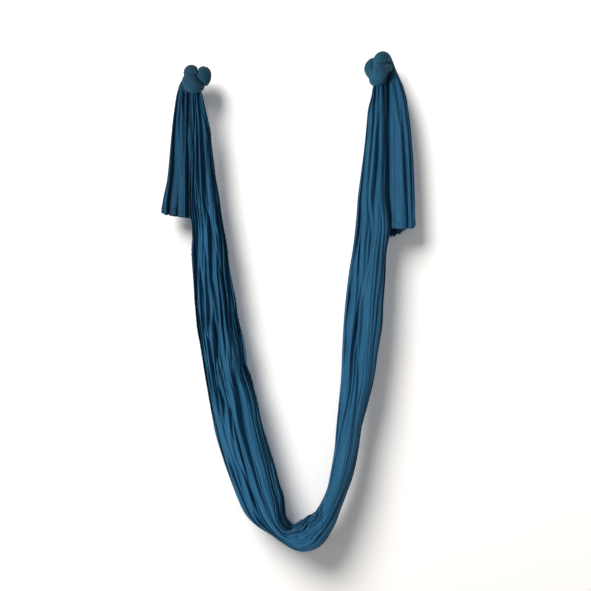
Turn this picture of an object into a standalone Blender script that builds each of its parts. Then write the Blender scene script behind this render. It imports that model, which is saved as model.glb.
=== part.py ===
# Aerial yoga hammock: one long strip of knitted cloth, gathered and knotted at both ends.
# Origin at the left throat, just under the left knot. +X runs to the right throat, +Z is up,
# and the viewer stands on the -Y side. All sizes are in metres.
import math

import bpy
import numpy as np
from mathutils import Vector

# Driving sizes
hang_width = 0.650            # from the left throat to the right throat
sling_depth = 1.532           # from the throats down to the middle of the seat's bundle
neck_radius = 0.022           # round neck of cloth that leaves each knot
neck_clearance = 0.0015       # room over the round top of a neck, so that it turns freely
swing_limit = 45.0            # degrees that the sling swings to the front and to the back
bundle_width = 0.164          # the widest place of the gathered cloth, seen from the front
bundle_thickness = 0.164      # its thickest place, under the user, seen from the side
limb_folds = 10               # main folds round the gathered cloth
limb_fold_depth = 0.24        # depth of a fold as a share of the bundle's half width
limb_fullness = 0.88          # below 1 the bundle is fuller at its corners than an ellipse
limb_drift = 2.2              # how far the folds turn from one throat to the other, in radians
limb_fold_start = 0.015       # distance from a throat at which a limb's folds begin
limb_fold_rise = 0.150        # length over which they reach their full depth
fold_width_spread = 0.16      # how uneven the folds' widths are
fold_depth_spread = 0.35      # how uneven their depths are
seam_gap = 0.0003             # open line between two solids that meet face to face

left_limb_share = 0.375       # share of the sling's length that is the left limb
right_limb_share = 0.385      # share of it that is the right limb

strand_radius = 0.0225        # the gathered strand in the knots, before its neighbours press it
strand_end_share = 0.72       # the strand's radius at its two ends as a share of its own
strand_end_length = 0.15      # length of each slimmer end as a share of the strand
strand_bend_share = 0.72      # the strand's radius inside its own bend as a share of the bend's
strand_least_radius = 0.002   # the strand is nowhere pressed thinner than this
strand_squeeze = 0.0035       # room left between two strands that press on each other
right_knot_height = 1.10      # the right knot's height as a share of the left knot's
right_knot_turn = -22.0       # degrees that its middle is turned about the upright line
right_knot_tilt = 20.0        # degrees that its middle is tilted, tail side up
knot_middle = (0, 10, 48)     # the point of the route that a knot is turned and tilted about
pose_fade_in = 4.0            # steps of the route over which the turn and tilt grow at its start
pose_fade_out = 5.0           # steps over which they fade at its end
pose_least_share = 0.35       # share of the turn and tilt that is left at its end
knot_step_length = 0.001      # one step of the knots' route

tail_root_drop = 0.002        # tails turn about a line this far under the throats
tail_root_back = 0.028        # and this far behind them
tail_clearance = 0.0025       # side room between a tail and the limb beside it
tail_folds = 8                # main folds round a tail
tail_fold_depth = 0.24        # depth of a tail's fold as a share of its half width
tail_fullness = 0.70          # as the limbs' fullness
tail_drift = 1.4              # how far the folds turn down a tail, in radians
tail_drift_start = 0.3        # how far they have turned at its root, as a share of that
tail_fold_rise = 0.120        # length over which a tail's folds reach their full depth
tail_depth_rise = 0.200       # length over which it reaches its full thickness
tail_spread = 0.85            # below 1 a tail widens more near its root than near its hem
tail_hem = 0.025              # turned and sewn end of each tail

left_tail_length = 0.425      # from the turning line to the hem's lower edge
left_tail_root_width = 0.056
left_tail_end_width = 0.112
left_tail_depth = 0.064

right_tail_length = 0.478
right_tail_root_width = 0.042
right_tail_end_width = 0.090
right_tail_depth = 0.062

# Route of the sling's bundle: shares of the hang width, of the sling's depth, of the bundle's
# width seen from the front, and of its thickness seen from the side
sling_route = (
    (0.000, 0.000, 0.29, 0.27),
    (0.009, 0.050, 0.35, 0.32),
    (0.023, 0.124, 0.48, 0.40),
    (0.048, 0.242, 0.65, 0.49),
    (0.074, 0.356, 0.76, 0.56),
    (0.108, 0.470, 0.89, 0.61),
    (0.150, 0.584, 0.95, 0.63),
    (0.210, 0.698, 1.00, 0.66),
    (0.277, 0.813, 0.99, 0.70),
    (0.357, 0.914, 0.90, 0.76),
    (0.446, 0.973, 0.68, 0.90),
    (0.577, 1.000, 0.67, 1.00),
    (0.686, 0.981, 0.61, 0.95),
    (0.744, 0.925, 0.46, 0.84),
    (0.790, 0.865, 0.41, 0.76),
    (0.824, 0.803, 0.48, 0.71),
    (0.860, 0.692, 0.63, 0.66),
    (0.894, 0.581, 0.73, 0.62),
    (0.918, 0.470, 0.75, 0.60),
    (0.944, 0.359, 0.68, 0.55),
    (0.960, 0.248, 0.59, 0.48),
    (0.974, 0.137, 0.48, 0.40),
    (0.990, 0.050, 0.35, 0.32),
    (1.000, 0.000, 0.29, 0.27),
)

# Route of the strand through the left knot, from the throat towards the tail's root, in steps
# of knot_step_length from the throat. The right knot is its mirror image, turned and tilted.
knot_route = (
    (0, 0, 24),
    (0, 0, 34),
    (3, 1, 48),
    (10, 5, 63),
    (18, 13, 75),
    (22, 25, 80),
    (18, 38, 77),
    (8, 46, 68),
    (-5, 47, 56),
    (-16, 40, 45),
    (-23, 27, 38),
    (-25, 12, 36),
    (-23, -3, 35),
    (-16, -15, 33),
    (-5, -21, 32),
    (6, -20, 34),
    (14, -12, 39),
    (17, 0, 44),
    (13, 10, 48),
    (4, 15, 53),
    (-7, 14, 60),
    (-16, 12, 70),
    (-22, 15, 81),
    (-27, 27, 87),
    (-32, 40, 83),
    (-37, 47, 71),
)

# How the strand comes down behind the knot to the tail's root, as steps away from its end
tail_approach = (
    (10, 16, 33),
    (4, 7, 20),
    (0, 0, 8),
    (0, 0, 0),
)

# Counts of the lofts
limb_rings = 25
seat_rings = 17
tail_rings = 14
points_per_fold = 3
knot_rings = 54
knot_sides = 10
dome_steps = (78.0, 52.0, 26.0)   # degrees above the turning line of a neck's round top
fine_steps = 1200             # steps that a route's length is measured in
rings_in_a_bend = 6           # rings this near along the strand belong to one bend
rings_past_an_end = 5         # places along the cloth that goes on past each end of the strand

blue_shade = (0.021, 0.078, 0.130, 1.0)
blue_light = (0.032, 0.110, 0.170, 1.0)


def clear_scene():
    for item in list(bpy.data.objects):
        bpy.data.objects.remove(item, do_unlink=True)


def make_material(name, colour, roughness):
    material = bpy.data.materials.new(name)
    material.use_nodes = True
    shader = material.node_tree.nodes["Principled BSDF"]
    shader.inputs["Base Color"].default_value = colour
    shader.inputs["Roughness"].default_value = roughness
    shader.inputs["Metallic"].default_value = 0.0
    return material


def smooth_row(rows, where):
    """Value at a place along evenly numbered rows, on a smooth curve through them."""
    last = len(rows) - 1
    k = min(int(where), last - 1)
    t = where - k
    a, b = rows[k], rows[k + 1]
    before = rows[k - 1] if k > 0 else 2 * a - b
    after = rows[k + 2] if k + 2 <= last else 2 * b - a
    return 0.5 * (
        2 * a + (b - before) * t
        + (2 * before - 5 * a + 4 * b - after) * t ** 2
        + (3 * a - before - 3 * b + after) * t ** 3
    )


def even_walk(rows, shares, places=3):
    """Rows read at the given shares of the curve's length; its first numbers are the place."""
    last = len(rows) - 1
    fine = [smooth_row(rows, k * last / fine_steps) for k in range(fine_steps + 1)]
    fine = np.array(fine)
    steps = np.linalg.norm(np.diff(fine[:, :places], axis=0), axis=1)
    length = np.concatenate(([0.0], np.cumsum(steps)))
    picked = []
    for share in shares:
        at = share * length[-1]
        picked.append([np.interp(at, length, fine[:, c]) for c in range(fine.shape[1])])
    return np.array(picked), length[-1]


def fold_profile(folds, depth, drift):
    """Ring of (angle, scale) for a bundle with uneven folds that drift as it goes down."""
    ring = []
    for k in range(folds):
        start = k + fold_width_spread * math.sin(2.3 * k + drift)
        end = k + 1 + fold_width_spread * math.sin(2.3 * ((k + 1) % folds) + drift)
        own_depth = depth * (1.0 + fold_depth_spread * math.sin(1.7 * k + 1.0))
        for step in range(points_per_fold):
            turn = start + (end - start) * step / points_per_fold
            angle = 2 * math.pi * turn / folds + 0.35 * drift
            ring.append((angle, 1.0 - own_depth if step == 0 else 1.0))
    return ring


def rounded(value, fullness):
    return math.copysign(abs(value) ** fullness, value)


def section(centre, across, half_width, half_depth, folds, depth, drift, fullness=1.0):
    """Folded cross-section in the plane of the across direction and Y."""
    points = []
    for angle, scale in fold_profile(folds, depth, drift):
        sideways = half_width * rounded(math.cos(angle), fullness) * scale
        back = half_depth * rounded(math.sin(angle), fullness) * scale
        points.append(centre + across * sideways + Vector((0.0, back, 0.0)))
    return points


def loft(name, rings, material, collection):
    """Closed body through rings of equal count, with flat ends."""
    count = len(rings[0])
    vertices = [point for ring in rings for point in ring]
    faces = []
    for r in range(len(rings) - 1):
        for k in range(count):
            n = (k + 1) % count
            faces.append((r * count + k, r * count + n, (r + 1) * count + n, (r + 1) * count + k))
    faces.append(tuple(range(count))[::-1])
    faces.append(tuple((len(rings) - 1) * count + k for k in range(count)))
    mesh = bpy.data.meshes.new(name)
    mesh.from_pydata([tuple(v) for v in vertices], [], faces)
    mesh.materials.append(material)
    mesh.validate()
    body = bpy.data.objects.new(name, mesh)
    collection.objects.link(body)
    # turned inside out where the rings run the other way
    if signed_volume(mesh) < 0:
        mesh.flip_normals()
    mesh.shade_smooth()
    mesh.set_sharp_from_angle(angle=math.radians(50))
    return body


def signed_volume(mesh):
    mesh.calc_loop_triangles()
    total = 0.0
    for triangle in mesh.loop_triangles:
        a, b, c = (mesh.vertices[i].co for i in triangle.vertices)
        total += a.dot(b.cross(c)) / 6.0
    return total


def sling_station(share):
    """Centre, direction across the bundle, half width and half depth at a share of its length."""
    rows = [
        np.array((x * hang_width, -z * sling_depth, w * bundle_width / 2,
                  t * bundle_thickness / 2))
        for x, z, w, t in sling_route
    ]
    span = 1e-3
    shares = (max(share - span, 0.0), share, min(share + span, 1.0))
    (before, here, after), length = even_walk(rows, shares, places=2)
    run = Vector((after[0] - before[0], 0.0, after[1] - before[1])).normalized()
    across = Vector((-run.z, 0.0, run.x))
    return Vector((here[0], 0.0, here[1])), across, here[2], here[3], length


def sling_ring(share):
    centre, across, half_width, half_depth, length = sling_station(share)
    from_end = min(share, 1.0 - share) * length
    grown = min(1.0, max(0.0, (from_end - limb_fold_start) / limb_fold_rise))
    depth = limb_fold_depth * grown
    fullness = 1.0 + (limb_fullness - 1.0) * grown
    return section(centre, across, half_width, half_depth, limb_folds, depth,
                   limb_drift * share, fullness)


def neck_rings(throat, radius, folds, drift):
    """Round top of a neck: part of a ball about the turning line, so that it turns freely."""
    rings = []
    for degrees in dome_steps:
        angle = math.radians(degrees)
        small = radius * math.cos(angle)
        centre = throat + Vector((0.0, 0.0, radius * math.sin(angle)))
        rings.append(section(centre, Vector((1, 0, 0)), small, small, folds, 0.0, drift))
    rings.append(section(throat, Vector((1, 0, 0)), radius, radius, folds, 0.0, drift))
    waist = math.radians(swing_limit)
    centre = throat - Vector((0.0, 0.0, radius * math.sin(waist)))
    pinched = radius * math.cos(waist)
    rings.append(section(centre, Vector((1, 0, 0)), radius, pinched, folds, 0.0, drift))
    return rings


def make_sling(material, collection):
    length = sling_station(0.5)[4]
    half_gap = 0.5 * seam_gap / length
    first = 2.2 * neck_radius / length
    spots = np.linspace(first, left_limb_share - half_gap, limb_rings)
    rings = neck_rings(Vector((0, 0, 0)), neck_radius, limb_folds, 0.0)
    rings += [sling_ring(share) for share in spots]
    left = loft("left_limb", rings, material, collection)

    end_share = 1.0 - right_limb_share
    spots = np.linspace(left_limb_share + half_gap, end_share - half_gap, seat_rings)
    seat = loft("seat", [sling_ring(share) for share in spots], material, collection)

    spots = np.linspace(first, right_limb_share - half_gap, limb_rings)
    throat = Vector((hang_width, 0, 0))
    rings = neck_rings(throat, neck_radius, limb_folds, limb_drift)
    # the limb's own rings face the other way along the route, so each ring is reversed
    rings = [mirror_ring(ring, throat.x) for ring in rings]
    rings += [sling_ring(1.0 - share) for share in spots]
    right = loft("right_limb", rings, material, collection)
    return left, seat, right


def mirror_ring(ring, x):
    return [Vector((2 * x - point.x, point.y, point.z)) for point in ring]


def limb_reach():
    """How far the limbs stand out past their throats, over the height of the tails."""
    left = right = neck_radius
    lowest = max(left_tail_length, right_tail_length) + tail_root_drop
    for x, z, width_share, _ in sling_route:
        half_width = width_share * bundle_width / 2
        if z * sling_depth <= lowest:
            if x < 0.5:
                left = max(left, half_width - x * hang_width)
            else:
                right = max(right, half_width - (1.0 - x) * hang_width)
    return left, right


def make_tail(name, side, reach, length, root_width, end_width, depth, materials, collection):
    """Tail and hem hanging beside a limb; side is -1 for the left and 1 for the right."""
    throat_x = 0.0 if side < 0 else hang_width
    inner = reach + tail_clearance
    root_radius = root_width / 2
    root = Vector((throat_x + side * (inner + root_radius), tail_root_back, -tail_root_drop))
    rings = neck_rings(root, root_radius, tail_folds, tail_drift_start * tail_drift)
    start = 2.0 * root_radius
    hem_top = length - tail_hem

    def ring_at(drop):
        t = drop / length
        width = root_width + (end_width - root_width) * t ** tail_spread
        centre = root.copy()
        centre.x = throat_x + side * (inner + width / 2)
        centre.z = root.z - drop
        grown = min(1.0, (drop - root_radius) / tail_fold_rise)
        thickened = min(1.0, drop / tail_depth_rise)
        deep = root_radius + (depth / 2 - root_radius) * thickened
        across = Vector((1, 0, 0))
        folds = tail_fold_depth * grown
        fullness = 1.0 + (tail_fullness - 1.0) * grown
        return section(centre, across, width / 2, deep, tail_folds, folds,
                       tail_drift * (tail_drift_start + t), fullness)

    rings += [ring_at(drop) for drop in np.linspace(start, hem_top - seam_gap, tail_rings)]
    loft(name, rings, materials[0], collection)
    rings = [ring_at(drop) for drop in np.linspace(hem_top, length, 3)]
    loft(name + "_hem", rings, materials[1], collection)
    return root, root_radius


def strand_frames(points):
    """Directions across a strand that turn as little as they can from ring to ring."""
    count = len(points)
    tangents = []
    for k in range(count):
        ahead = points[min(k + 1, count - 1)] - points[max(k - 1, 0)]
        tangents.append(ahead / np.linalg.norm(ahead))
    tangents[0] = np.array((0.0, 0.0, 1.0))
    tangents[-1] = np.array((0.0, 0.0, -1.0))
    first = np.array((1.0, 0.0, 0.0))
    frames = []
    for tangent in tangents:
        first = first - tangent * first.dot(tangent)
        first = first / np.linalg.norm(first)
        frames.append((first, np.cross(tangent, first)))
    return frames


def pressed_radius(points, order, k, direction, full):
    """Radius of the strand in one direction, held back by its neighbours and by its bends.
    Points lie along the strand and past its two ends, and order numbers them."""
    away = points - points[k]
    square = (away ** 2).sum(axis=1)
    along = away @ direction
    steps = np.abs(order - order[k])
    facing = (along > 1e-9) & (steps > 0)
    reach = square[facing] / (2 * along[facing])
    near = steps[facing] <= rings_in_a_bend
    limits = np.where(near, reach * strand_bend_share, reach - strand_squeeze / 2)
    if len(limits) == 0:
        return full
    return max(strand_least_radius, min(full, limits.min()))


def room_before_ball(point, direction, centre, radius):
    """How far a direction runs from a point before it meets a ball."""
    offset = point - centre
    along = offset @ direction
    inside = along ** 2 - (offset @ offset - radius ** 2)
    if inside <= 0 or along >= 0:
        return math.inf
    return max(strand_least_radius, -along - math.sqrt(inside))


def rotated(a, b, degrees):
    angle = math.radians(degrees)
    return a * math.cos(angle) - b * math.sin(angle), a * math.sin(angle) + b * math.cos(angle)


def posed_route(height_share, turn, tilt):
    """The knot's route, turned and tilted about its middle; both fade out at its two ends."""
    rows = []
    last = len(knot_route) - 1
    for k, (x, y, z) in enumerate(knot_route):
        fade = min(1.0, k / pose_fade_in, pose_least_share + (last - k) / pose_fade_out)
        x, y = rotated(x - knot_middle[0], y - knot_middle[1], turn * fade)
        x, z = rotated(x, z - knot_middle[2], -tilt * fade)
        z = (z + knot_middle[2]) * height_share
        row = np.array((x + knot_middle[0], y + knot_middle[1], z))
        rows.append(row * knot_step_length)
    return rows


def make_knot(name, side, pose, tail_root, tail_radius, material, collection):
    """Overhand knot as one strand; side is -1 for the left knot, 1 for its mirror image.
    The pose is its height share, its turn and its tilt."""
    throat_x = 0.0 if side < 0 else hang_width
    rows = posed_route(*pose)
    # the strand starts just over the sling's neck and ends just over the tail's
    rows[0][2] = neck_radius + neck_clearance
    end = np.array((-abs(tail_root.x - throat_x), tail_root.y, tail_root.z + tail_radius))
    end[2] += neck_clearance
    for offset in tail_approach:
        rows.append(end + np.array(offset) * knot_step_length)
    shares = [k / (knot_rings - 1) for k in range(knot_rings)]
    points, length = even_walk(rows, shares)
    frames = strand_frames(points)
    # the cloth goes on past both ends of the strand, down into the two necks
    step = length / (knot_rings - 1)
    down = [np.array((0.0, 0.0, -step * (k + 1))) for k in range(rings_past_an_end)]
    before = [points[0] + move for move in down]
    after = [points[-1] + move for move in down]
    everything = np.vstack([points, before, after])
    order = np.concatenate([
        np.arange(knot_rings),
        -1 - np.arange(rings_past_an_end),
        knot_rings + np.arange(rings_past_an_end),
    ])
    tail_ball = np.array((end[0], end[1], tail_root.z))
    balls = (
        (np.zeros(3), neck_radius + neck_clearance),
        (tail_ball, tail_radius + neck_clearance),
    )
    rings = []
    for k in range(knot_rings):
        ring = []
        # the strand is slimmer where it leaves the necks
        from_end = min(k, knot_rings - 1 - k) / (knot_rings - 1)
        full = strand_radius * min(1.0, strand_end_share + from_end / strand_end_length)
        for corner in range(knot_sides):
            angle = 2 * math.pi * corner / knot_sides
            across = math.cos(angle) * frames[k][0] + math.sin(angle) * frames[k][1]
            radius = pressed_radius(everything, order, k, across, full)
            for centre, ball in balls:
                radius = min(radius, room_before_ball(points[k], across, centre, ball))
            place = points[k] + across * radius
            ring.append(Vector((throat_x - side * place[0], place[1], place[2])))
        rings.append(ring)
    loft(name, rings, material, collection)
    report_gap(name, rings)


def report_gap(name, rings):
    """Prints the least gap between two strands of one knot, measured on the rings' points."""
    least = 1.0
    far = knot_rings // 5
    for k in range(len(rings)):
        for other in range(k + far, len(rings)):
            for a in rings[k]:
                for b in rings[other]:
                    least = min(least, (a - b).length)
    print(name, "least gap to itself", round(least * 1000, 2), "mm")


def main():
    clear_scene()
    collection = bpy.data.collections.new("aerial_yoga_hammock")
    bpy.context.scene.collection.children.link(collection)
    cloth = make_material("knitted nylon tricot", blue_light, 0.62)
    knot_cloth = make_material("knitted nylon tricot, gathered", blue_shade, 0.62)
    hem_cloth = make_material("knitted nylon tricot, hemmed", blue_shade, 0.66)
    make_sling(cloth, collection)
    left_reach, right_reach = limb_reach()
    left = make_tail("left_tail", -1, left_reach, left_tail_length, left_tail_root_width,
                     left_tail_end_width, left_tail_depth, (cloth, hem_cloth), collection)
    right = make_tail("right_tail", 1, right_reach, right_tail_length, right_tail_root_width,
                      right_tail_end_width, right_tail_depth, (cloth, hem_cloth), collection)
    left_pose = (1.0, 0.0, 0.0)
    right_pose = (right_knot_height, right_knot_turn, right_knot_tilt)
    make_knot("left_knot", -1, left_pose, left[0], left[1], knot_cloth, collection)
    make_knot("right_knot", 1, right_pose, right[0], right[1], knot_cloth, collection)


main()
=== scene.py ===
import math

import bpy
import numpy as np
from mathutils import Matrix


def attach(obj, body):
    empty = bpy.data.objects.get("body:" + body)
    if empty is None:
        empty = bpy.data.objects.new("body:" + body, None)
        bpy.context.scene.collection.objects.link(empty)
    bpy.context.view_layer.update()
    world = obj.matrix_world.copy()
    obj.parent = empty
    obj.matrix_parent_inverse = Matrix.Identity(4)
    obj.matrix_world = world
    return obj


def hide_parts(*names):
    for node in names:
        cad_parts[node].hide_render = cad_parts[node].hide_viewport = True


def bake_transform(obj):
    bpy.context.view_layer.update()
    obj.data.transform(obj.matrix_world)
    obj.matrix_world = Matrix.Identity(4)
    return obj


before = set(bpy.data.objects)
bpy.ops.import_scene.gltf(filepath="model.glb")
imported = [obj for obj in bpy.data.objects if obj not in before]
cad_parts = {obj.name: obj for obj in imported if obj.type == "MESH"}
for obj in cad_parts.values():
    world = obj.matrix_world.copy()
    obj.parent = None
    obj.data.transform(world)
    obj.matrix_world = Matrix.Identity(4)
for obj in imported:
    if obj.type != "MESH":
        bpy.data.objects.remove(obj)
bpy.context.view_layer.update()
bpy.ops.object.select_all(action="DESELECT")
print("packed frame loaded:", len(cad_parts), "nodes")


# ---- helpers ----

def fromHex(text, paintedShade=1.0):
    # sRGB hex to the linear colour that the shaders take, darkened by a painted shade factor
    parts = [int(text[k:k + 2], 16) / 255 for k in (1, 3, 5)]
    linear = [c / 12.92 if c <= 0.04045 else ((c + 0.055) / 1.055) ** 2.4 for c in parts]
    return (*[c * paintedShade for c in linear], 1)


def addNode(tree, kind, settings=None, links=None):
    # one node with its settings and what feeds it; names in settings are sockets or properties
    node = tree.nodes.new(kind)
    for key, value in (settings or {}).items():
        if isinstance(key, int) or key in node.inputs:
            node.inputs[key].default_value = value
        else:
            setattr(node, key, value)
    for key, source in (links or {}).items():
        tree.links.new(source, node.inputs[key])
    return node


def softNoise(across, along, seed):
    # smooth value noise between -1 and 1 on a grid of whole numbers
    table = np.random.RandomState(seed).rand(64, 64) * 2 - 1
    a, b = np.floor(across).astype(int), np.floor(along).astype(int)
    fa, fb = across - a, along - b
    fa, fb = fa * fa * (3 - 2 * fa), fb * fb * (3 - 2 * fb)
    a0, a1, b0, b1 = a % 64, (a + 1) % 64, b % 64, (b + 1) % 64
    low = table[a0, b0] * (1 - fa) + table[a1, b0] * fa
    high = table[a0, b1] * (1 - fa) + table[a1, b1] * fa
    return low * (1 - fb) + high * fb


def atShares(table, shares):
    # what a table of share and value says at each share, straight between its rows
    return np.interp(shares, *np.array(table).T)


def curveThrough(rows, steps):
    # smooth curve through rows of numbers, read at many even steps of the row number
    rows = np.array(rows, float)
    last = len(rows) - 1
    where = np.linspace(0, last, steps)
    k = np.minimum(where.astype(int), last - 1)
    t = (where - k)[:, None]
    a, b = rows[k], rows[k + 1]
    before = np.where((k > 0)[:, None], rows[np.maximum(k - 1, 0)], 2 * a - b)
    after = np.where((k + 2 <= last)[:, None], rows[np.minimum(k + 2, last)], 2 * b - a)
    return 0.5 * (2 * a + (b - before) * t + (2 * before - 5 * a + 4 * b - after) * t ** 2
                  + (3 * a - before - 3 * b + after) * t ** 3)


def alongCurve(fine, shares):
    # rows of a fine curve at shares of its length; its first three numbers are the place
    steps = np.linalg.norm(np.diff(fine[:, :3], axis=0), axis=1)
    length = np.concatenate(([0.0], np.cumsum(steps)))
    picked = [np.interp(shares * length[-1], length, fine[:, c]) for c in range(fine.shape[1])]
    return np.array(picked).T, length[-1]


def smoothed(table, across, along):
    # running means round the rings and from ring to ring
    table = np.mean([np.roll(table, k, axis=1) for k in range(-across, across + 1)], axis=0)
    padded = np.pad(table, ((along, along), (0, 0)), mode="edge")
    rings = len(table)
    return np.mean([padded[k:k + rings] for k in range(2 * along + 1)], axis=0)


def clothWidth(grid):
    # distance across the cloth at each point, as a mean of all rings
    steps = np.linalg.norm(np.diff(grid, axis=1), axis=2).mean(axis=0)
    return np.concatenate(([0.0], np.cumsum(steps)))


def gridMesh(name, grid, across, along, material, closed=False):
    # a surface through rings of points, with its cloth map in metres
    rings, count = grid.shape[:2]
    wide = count if closed else count - 1
    r, k = np.meshgrid(np.arange(rings - 1), np.arange(wide), indexing="ij")
    n = (k + 1) % count
    corners = [r * count + k, r * count + n, (r + 1) * count + n, (r + 1) * count + k]
    faces = np.stack([c.ravel() for c in corners], axis=1)
    mesh = bpy.data.meshes.new(name)
    mesh.from_pydata(grid.reshape(-1, 3).tolist(), [], faces.tolist())
    clothMap = mesh.uv_layers.new(name="clothMap")
    wrapped = np.where(k + 1 > n, count, n)
    u = np.stack([across[c.ravel()] for c in (k, wrapped, wrapped, k)], axis=1)
    v = np.stack([along[c.ravel()] for c in (r, r, r + 1, r + 1)], axis=1)
    clothMap.data.foreach_set("uv", np.stack([u, v], axis=2).ravel().astype(np.float32))
    mesh.materials.append(material)
    mesh.polygons.foreach_set("use_smooth", np.ones(len(faces), bool))
    piece = bpy.data.objects.new(name, mesh)
    bpy.context.scene.collection.objects.link(piece)
    return piece


# ---- knitted nylon tricot ----
# A dull, slightly silky warp knit: no single yarn shows at arm's length, but its wales and the
# small pulls of gathering run down the cloth as fine light and dark streaks.

clothLook = {
    "light": "#2F6A8D", "worn": "#265C7D", "deep": "#1C4D69",
    "streakWidth": 0.004, "streakLength": 0.16,
    "waleWidth": 0.0022,   # real wales are 0.6 mm apart, too fine to show, so drawn coarser
    "waleBends": 12.0,     # to a metre
    "pullWidth": 0.009, "pullLength": 0.22,   # what gathering pulls out of line
    "roughness": 0.66, "ior": 1.5, "specular": 0.12, "sheen": 0.02, "sheenRoughness": 0.5,
    "knitRelief": 0.0008, "knitStrength": 0.35, "pullRelief": 0.002, "pullStrength": 0.5,
}


# the shade factor darkens every colour of this copy of the cloth, as painted shade
def nylonTricot(name, look, paintedShade=1.0):
    material = bpy.data.materials.new(name)
    material.use_nodes = True
    tree = material.node_tree
    shader = tree.nodes["Principled BSDF"]
    for socket, value in (("Roughness", "roughness"), ("IOR", "ior"),
                          ("Specular IOR Level", "specular"), ("Sheen Weight", "sheen"),
                          ("Sheen Roughness", "sheenRoughness")):
        shader.inputs[socket].default_value = look[value]
    cloth = addNode(tree, "ShaderNodeUVMap", {"uv_map": "clothMap"})
    placed = {}
    for pattern, across, along in (("streaks", 1 / look["streakWidth"], 1 / look["streakLength"]),
                                   ("pulls", 1 / look["pullWidth"], 1 / look["pullLength"]),
                                   ("wales", 1 / look["waleWidth"], look["waleBends"])):
        mapping = addNode(tree, "ShaderNodeMapping", {"Scale": (across, along, 1)},
                          {"Vector": cloth.outputs["UV"]})
        placed[pattern] = mapping.outputs["Vector"]
    streaks = addNode(tree, "ShaderNodeTexNoise", {"Scale": 1.0, "Detail": 3.0, "Roughness": 0.6},
                      {"Vector": placed["streaks"]})
    pulls = addNode(tree, "ShaderNodeTexNoise", {"Scale": 1.0, "Detail": 2.0},
                    {"Vector": placed["pulls"]})
    # at this scale the wave texture makes one wave to a wale
    wales = addNode(tree, "ShaderNodeTexWave", {
        "Scale": 0.314, "Distortion": 1.2, "Detail": 1.0, "wave_profile": "SIN"},
        {"Vector": placed["wales"]})
    ramp = addNode(tree, "ShaderNodeValToRGB", {}, {"Fac": streaks.outputs["Fac"]})
    stops = ramp.color_ramp.elements
    stops.new(0.5)
    for stop, position, tone in zip(stops, (0.3, 0.5, 0.72), ("deep", "worn", "light")):
        stop.position = position
        stop.color = fromHex(look[tone], paintedShade)
    tree.links.new(ramp.outputs["Color"], shader.inputs["Base Color"])
    # wales and streaks make the fine relief, and the pulls of gathering the coarse one over it
    knit = addNode(tree, "ShaderNodeMath", {"operation": "MULTIPLY_ADD", 1: 0.18},
                   {0: wales.outputs["Fac"], 2: streaks.outputs["Fac"]})
    fine = addNode(tree, "ShaderNodeBump",
                   {"Strength": look["knitStrength"], "Distance": look["knitRelief"]},
                   {"Height": knit.outputs["Value"]})
    coarse = addNode(tree, "ShaderNodeBump",
                     {"Strength": look["pullStrength"], "Distance": look["pullRelief"]},
                     {"Height": pulls.outputs["Fac"], "Normal": fine.outputs["Normal"]})
    tree.links.new(coarse.outputs["Normal"], shader.inputs["Normal"])
    return material


slingCloth = nylonTricot("knitted nylon tricot", clothLook)
# painted shade: the tails and knots are copies of the cloth with darkened colours, the left far
# darker than the right
tailClothInPaintedShade = {"left": nylonTricot("knitted nylon tricot, tail, painted shade left", clothLook, 0.66),
             "right": nylonTricot("knitted nylon tricot, tail, painted shade right", clothLook, 0.93)}
# stretched tight, the knit opens and looks a little greyer
tightLook = dict(clothLook, light="#336885", worn="#285C77", deep="#1D4B62")
# painted shade: the knots' colours are darkened too, the left more than the right
knotClothInPaintedShade = {"left": nylonTricot("knitted nylon tricot, pulled tight, painted shade left", tightLook, 0.65),
             "right": nylonTricot("knitted nylon tricot, pulled tight, painted shade right", tightLook, 0.88)}
# painted shade: the hems' colours are darkened below the tails', the left more than the right
hemClothInPaintedShade = {"left": nylonTricot("knitted nylon tricot, turned and sewn, painted shade left", clothLook, 0.6),
            "right": nylonTricot("knitted nylon tricot, turned and sewn, painted shade right", clothLook, 0.86)}
print("cloth materials made")


# ---- gathered cloth ----

# where the photo was taken from, in metres, how many degrees the camera turns to the left, and how
# wide its view is for each metre ahead: 591 px of 3.45 mm at 3.6 m
cameraSpot = {"place": (1.143, -3.506, -0.705), "yaw": 12.6, "span": 591 * 3.45e-3 / 3.60}


def creaseLines(creases, shares):
    # angle, depth and the width on each side of every crease at each ring, from rows of share of
    # the length, angle round the bundle and three sizes in mm; a crease fades out past its ends
    fadeShare = 0.03
    for points in creases:
        at = np.array(points, float)
        angle, depth, less, more = (np.interp(shares, at[:, 0], at[:, c]) for c in (1, 2, 3, 4))
        before = np.clip((shares - at[0, 0] + fadeShare) / fadeShare, 0, 1)
        after = np.clip((at[-1, 0] + fadeShare - shares) / fadeShare, 0, 1)
        fade = before * after
        yield angle, depth * 0.001 * fade * fade * (3 - 2 * fade), less * 0.001, more * 0.001


def fromRoomSide(angle):
    # degrees round the bundle from the side that faces the room
    return np.abs((angle + 90 + 180) % 360 - 180)


def finePleats(across, along, seed):
    # small pleats, 0 on their round crests and 1 in their sharp valleys, that run down the cloth
    # and wander in and out
    wave = softNoise(across + 0.8 * softNoise(across * 0.35, along * 0.8, seed + 9), along, seed)
    return np.maximum(0, 1 - (np.abs(wave) / 0.55) ** 0.6)


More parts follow.
